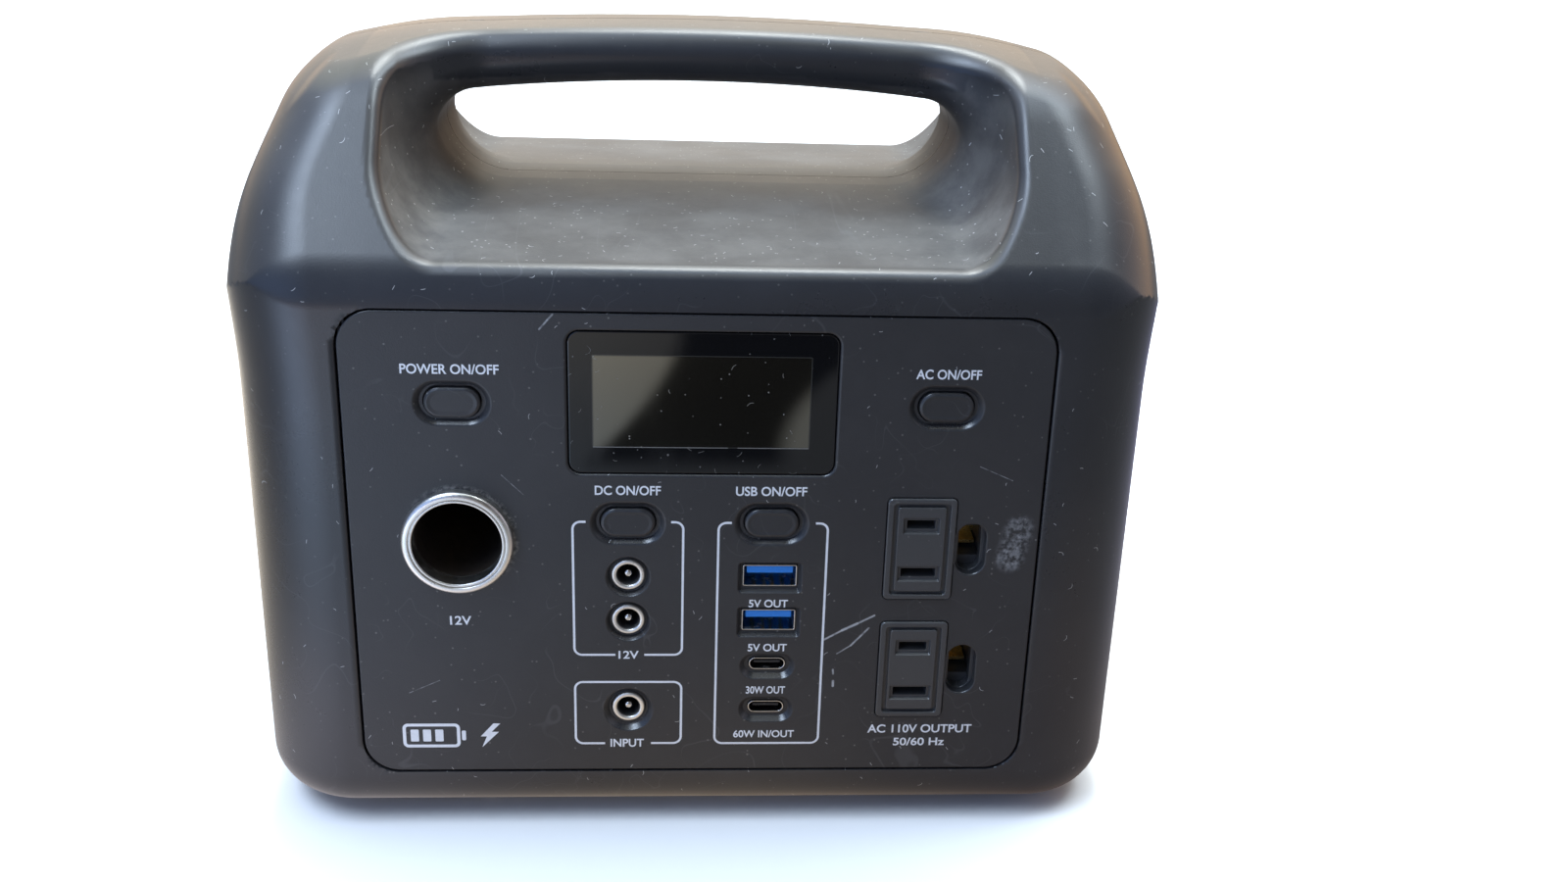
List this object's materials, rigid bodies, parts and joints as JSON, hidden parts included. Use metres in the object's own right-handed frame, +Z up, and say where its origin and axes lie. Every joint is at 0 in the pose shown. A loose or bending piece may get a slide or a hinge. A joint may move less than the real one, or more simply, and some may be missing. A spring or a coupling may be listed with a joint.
{
  "type": "portable power station",
  "caption": "Portable battery power station with an arched carrying handle, control panel, display, push buttons and DC, USB, car-plug and AC outlets.",
  "frame": {"origin": "on the floor, under the middle of the body (the feet's lowest faces are at Z = 0)", "axes": "+Z up, control panel faces -Y, +X to the right when facing the panel; the clamshell seam is the plane Y = 0"},
  "size_m": [0.22, 0.1565, 0.1905],
  "materials": {
    "shell": "satin black moulded plastic, fine grain, scuffed",
    "panel": "matt black moulded plastic",
    "lens": "gloss black window",
    "foam": "matt foam",
    "lcd": "olive grey display",
    "button": "satin black",
    "switch_white": "satin",
    "switch_metal": "satin",
    "bright_metal": "bright nickel",
    "contact": "satin",
    "insulator": "matt dark phenolic",
    "black_plastic": "satin",
    "usb_blue": "satin blue",
    "outlet": "satin black",
    "board": "green solder mask",
    "board_blue": "blue solder mask",
    "cell": "sleeved can",
    "holder": "matt",
    "nickel": "satin strip",
    "fuse": "clear tinted",
    "ferrite": "matt ferrite",
    "winding": "enamelled wire",
    "capacitor": "sleeved can",
    "aluminium": "extruded",
    "chip": "matt epoxy",
    "lead": "insulated lead",
    "fan": "satin",
    "rubber": "matt",
    "screw": "zinc plated",
    "screw_black": "black oxide"
  },
  "bodies": {
    "housing": {"front_shell": "shell", "rear_shell": "shell", "control_panel": "panel", "display_window": "lens", "display_gasket": "foam", "lcd_module": "lcd", "tact_switches": "switch_metal", "car_socket_shell": "bright_metal", "car_socket_nut": "black_plastic", "car_socket_insulator": "insulator", "car_socket_contact": "contact", "dc_jack_sleeves": "bright_metal", "dc_jack_pins": "bright_metal", "dc_jack_housings": "black_plastic", "usb_a_shells": "bright_metal", "usb_a_tongues": "usb_blue", "usb_c_shells": "bright_metal", "usb_c_tongues": "black_plastic", "ac_outlet_upper": "outlet", "ac_outlet_lower": "outlet", "ac_contacts": "contact", "control_board": "board", "battery_cells": "cell", "cell_holder_front": "holder", "cell_holder_rear": "holder", "cell_links_front": "nickel", "cell_links_rear": "nickel", "bms_board": "board_blue", "bms_fuse": "fuse", "inverter_board": "board", "transformer_core": "ferrite", "transformer_winding": "winding", "capacitors": "capacitor", "choke_coil": "winding", "heatsink": "aluminium", "transistors": "chip", "battery_leads": "lead", "fan_frame": "fan", "fan_bearing": "contact", "rubber_feet": "rubber", "shell_screws": "screw_black", "panel_screws": "screw", "board_screws": "screw", "side_board_screws": "screw", "pack_screws": "screw", "fan_screws": "screw"},
    "power_key": {"power_button": "button", "power_switch_stem": "switch_white"},
    "dc_key": {"dc_button": "button", "dc_switch_stem": "switch_white"},
    "usb_key": {"usb_button": "button", "usb_switch_stem": "switch_white"},
    "ac_key": {"ac_button": "button", "ac_switch_stem": "switch_white"},
    "fan": {"fan_rotor": "fan"}
  },
  "joints": [
    {"name": "power_press", "type": "slide", "parent": "housing", "child": "power_key", "axis": [0, 1, 0], "range_m": [0, 0.0006], "stiffness_N_per_m": 1500, "springref_m": -0.0004},
    {"name": "dc_press", "type": "slide", "parent": "housing", "child": "dc_key", "axis": [0, 1, 0], "range_m": [0, 0.0006], "stiffness_N_per_m": 1500, "springref_m": -0.0004},
    {"name": "usb_press", "type": "slide", "parent": "housing", "child": "usb_key", "axis": [0, 1, 0], "range_m": [0, 0.0006], "stiffness_N_per_m": 1500, "springref_m": -0.0004},
    {"name": "ac_press", "type": "slide", "parent": "housing", "child": "ac_key", "axis": [0, 1, 0], "range_m": [0, 0.0006], "stiffness_N_per_m": 1500, "springref_m": -0.0004},
    {"name": "fan_spin", "type": "hinge", "parent": "housing", "child": "fan", "pos_m": [0.0965, 0.035, 0.085], "axis": [1, 0, 0], "continuous": true}
  ]
}
